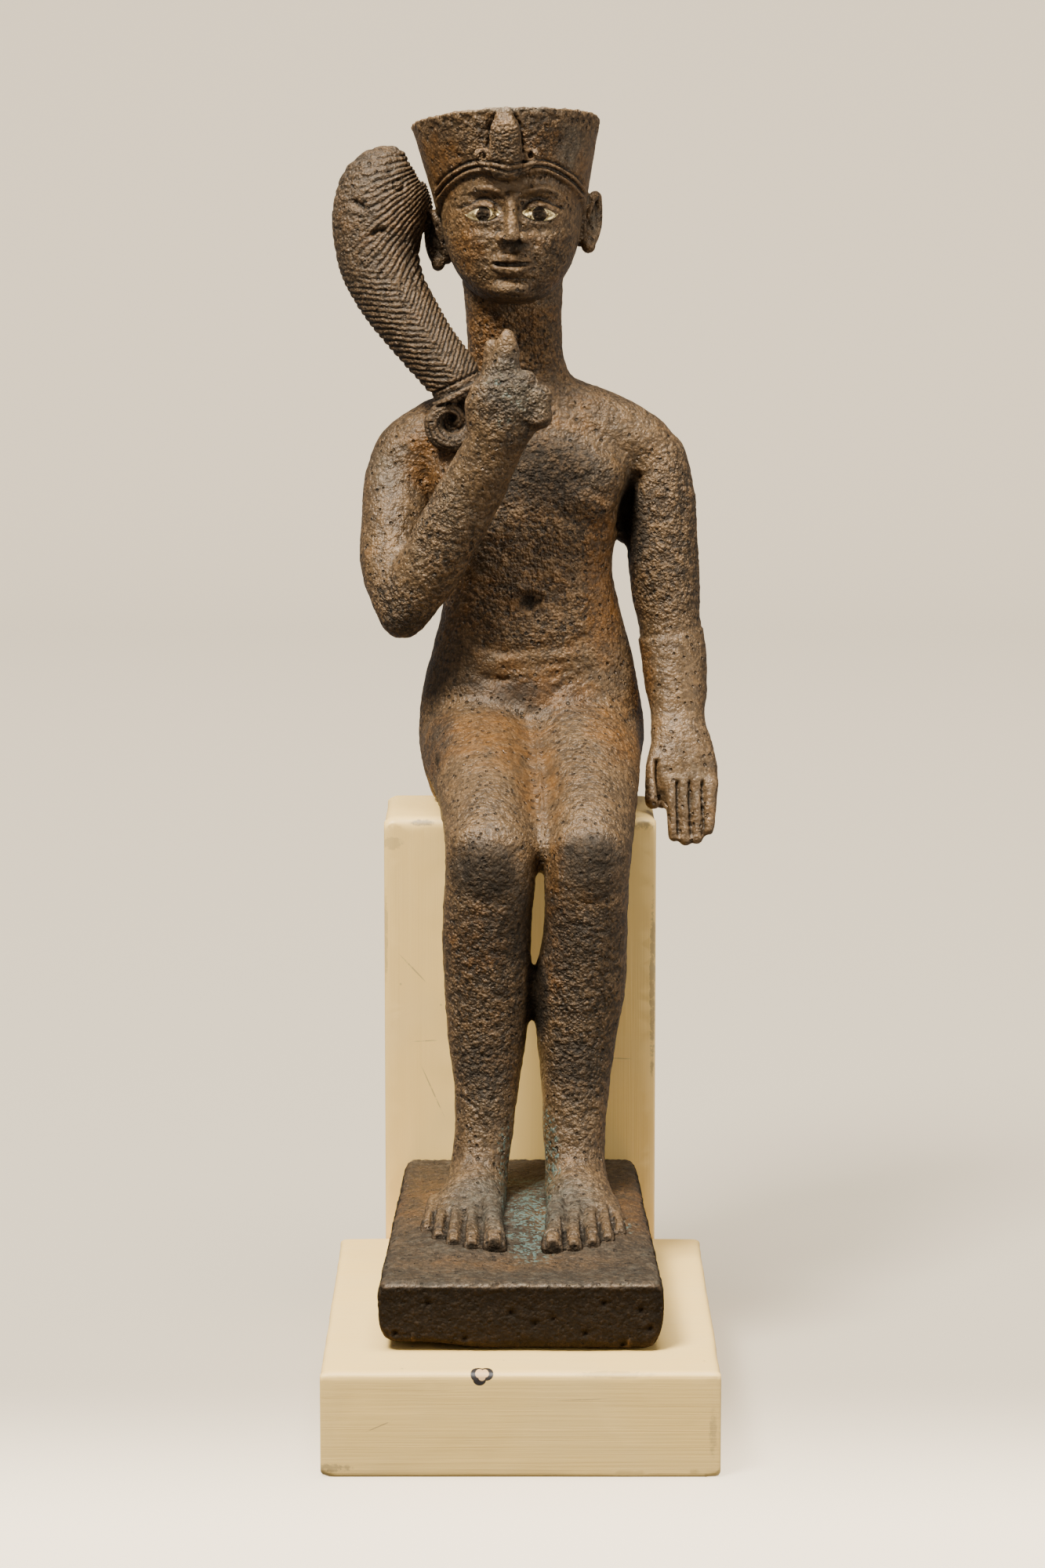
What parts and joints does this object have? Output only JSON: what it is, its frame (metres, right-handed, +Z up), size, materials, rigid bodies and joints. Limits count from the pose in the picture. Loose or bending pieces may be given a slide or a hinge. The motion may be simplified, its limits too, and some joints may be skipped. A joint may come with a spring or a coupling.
{
  "type": "seated statue",
  "caption": "Bronze of a seated child figure with a side lock and a flaring crown, on its own cast plate, held up by a painted wooden stand.",
  "frame": {"origin": "centre of the base slab's underside, on the surface the statue stands on", "axes": "+Z up, the figure faces -Y, +X points to the side of the figure's own left hand"},
  "size_m": [0.0913, 0.1671, 0.2889],
  "materials": {
    "patinated_bronze": "cast bronze with a brown, pitted patina and verdigris between the feet",
    "gold_inlay": "pale gold inlay, worn",
    "painted_wood": "brush-painted in matt cream, with wear and small chips"
  },
  "bodies": {
    "root": {"bronze_figure": "patinated_bronze", "eye_inlay_right": "gold_inlay", "eye_inlay_left": "gold_inlay", "seat_block": "painted_wood", "base_slab": "painted_wood"}
  },
  "joints": []
}
